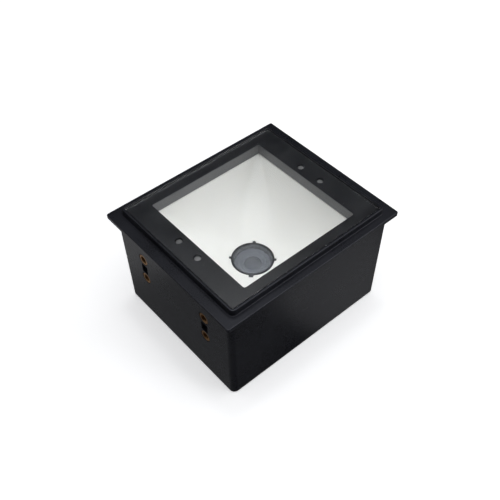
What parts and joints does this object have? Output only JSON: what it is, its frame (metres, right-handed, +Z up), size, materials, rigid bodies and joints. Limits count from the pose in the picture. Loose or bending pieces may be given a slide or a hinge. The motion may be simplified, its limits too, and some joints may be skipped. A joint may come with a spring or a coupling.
{
  "type": "flatbed barcode scanner",
  "caption": "Fixed-mount window barcode scanner: a flanged black box with a flush window, white light bowl, central camera and cable socket.",
  "frame": {"origin": "centre of the box's flat underside, where the base cover lies", "axes": "+X along the long side of the flange, +Y towards the wall with the cable socket, +Z up out of the window"},
  "size_m": [0.0786, 0.0676, 0.0464],
  "materials": {
    "housing_black": "satin black moulded ABS with a fine even grain",
    "window_glass": "clear polished cover glass, 1.2 mm",
    "mask_black": "black print behind the glass",
    "gasket_foam": "matt black adhesive foam",
    "shroud_grey": "satin dark grey",
    "bowl_white": "matt milky white, light-spreading",
    "ring_dark": "satin charcoal",
    "cover_clear": "clear moulded optical plastic",
    "lens_metal": "black anodised, fine turned rings",
    "lens_glass": "coated optical glass",
    "holder_black": "matt black, glass-filled",
    "board_green": "green solder mask",
    "chip_black": "matt black moulded package",
    "sensor_face": "sensor package under clear glass",
    "sensor_smoke": "smoky clear dome",
    "led_white": "white package with a pale yellow phosphor face",
    "socket_black": "semi-matt black",
    "flex_amber": "amber polyimide film",
    "brass": "bright machined brass",
    "screw_steel": "dark zinc-plated steel"
  },
  "bodies": {
    "root": {"base_cover": "housing_black", "base_screw_1": "screw_steel", "base_screw_2": "screw_steel", "base_screw_3": "screw_steel", "base_screw_4": "screw_steel", "board_screw_1": "screw_steel", "board_screw_2": "screw_steel", "board_screw_3": "screw_steel", "board_screw_4": "screw_steel", "bracket_screw_1": "screw_steel", "bracket_screw_2": "screw_steel", "bracket_screw_3": "screw_steel", "bracket_screw_4": "screw_steel", "brass_insert_1": "brass", "brass_insert_2": "brass", "brass_insert_3": "brass", "brass_insert_4": "brass", "brass_insert_5": "brass", "brass_insert_6": "brass", "brass_insert_7": "brass", "brass_insert_8": "brass", "buzzer": "chip_black", "cable_socket": "socket_black", "decoder_chip": "chip_black", "engine_bracket": "holder_black", "flex_cable": "flex_amber", "housing": "housing_black", "image_sensor": "sensor_face", "imager_board": "board_green", "imager_screw_1": "screw_steel", "imager_screw_2": "screw_steel", "left_front_sensor": "sensor_smoke", "left_led_1": "led_white", "left_led_2": "led_white", "left_rear_sensor": "sensor_smoke", "left_ribbon": "flex_amber", "left_sensor_board": "board_green", "lens_cover": "cover_clear", "lens_holder": "holder_black", "lens_ring": "ring_dark", "light_shroud": "shroud_grey", "main_board": "board_green", "reflector": "bowl_white", "right_front_sensor": "sensor_smoke", "right_led_1": "led_white", "right_led_2": "led_white", "right_rear_sensor": "sensor_smoke", "right_ribbon": "flex_amber", "right_sensor_board": "board_green", "sensor_board_screw_1": "screw_steel", "sensor_board_screw_2": "screw_steel", "sensor_board_screw_3": "screw_steel", "sensor_board_screw_4": "screw_steel", "window_gasket": "gasket_foam", "window_glass": "window_glass", "window_mask": "mask_black"},
    "lens_glass": {"lens_front_glass": "lens_glass", "lens_rear_glass": "lens_glass"},
    "lens_barrel": {"lens_barrel": "lens_metal"}
  },
  "joints": [
    {"name": "focus_travel", "type": "slide", "parent": "root", "child": "lens_glass", "axis": [0, 0, 1], "range_m": [-0.00025, 0.00025]},
    {"name": "focus_turn", "type": "hinge", "parent": "lens_glass", "child": "lens_barrel", "pos_m": [0, 0, 0.0149], "axis": [0, 0, 1], "range_deg": [-180, 180]}
  ],
  "couplings": [
    {"joint": "focus_turn", "follows": "focus_travel", "rad_per_m": 12566}
  ]
}
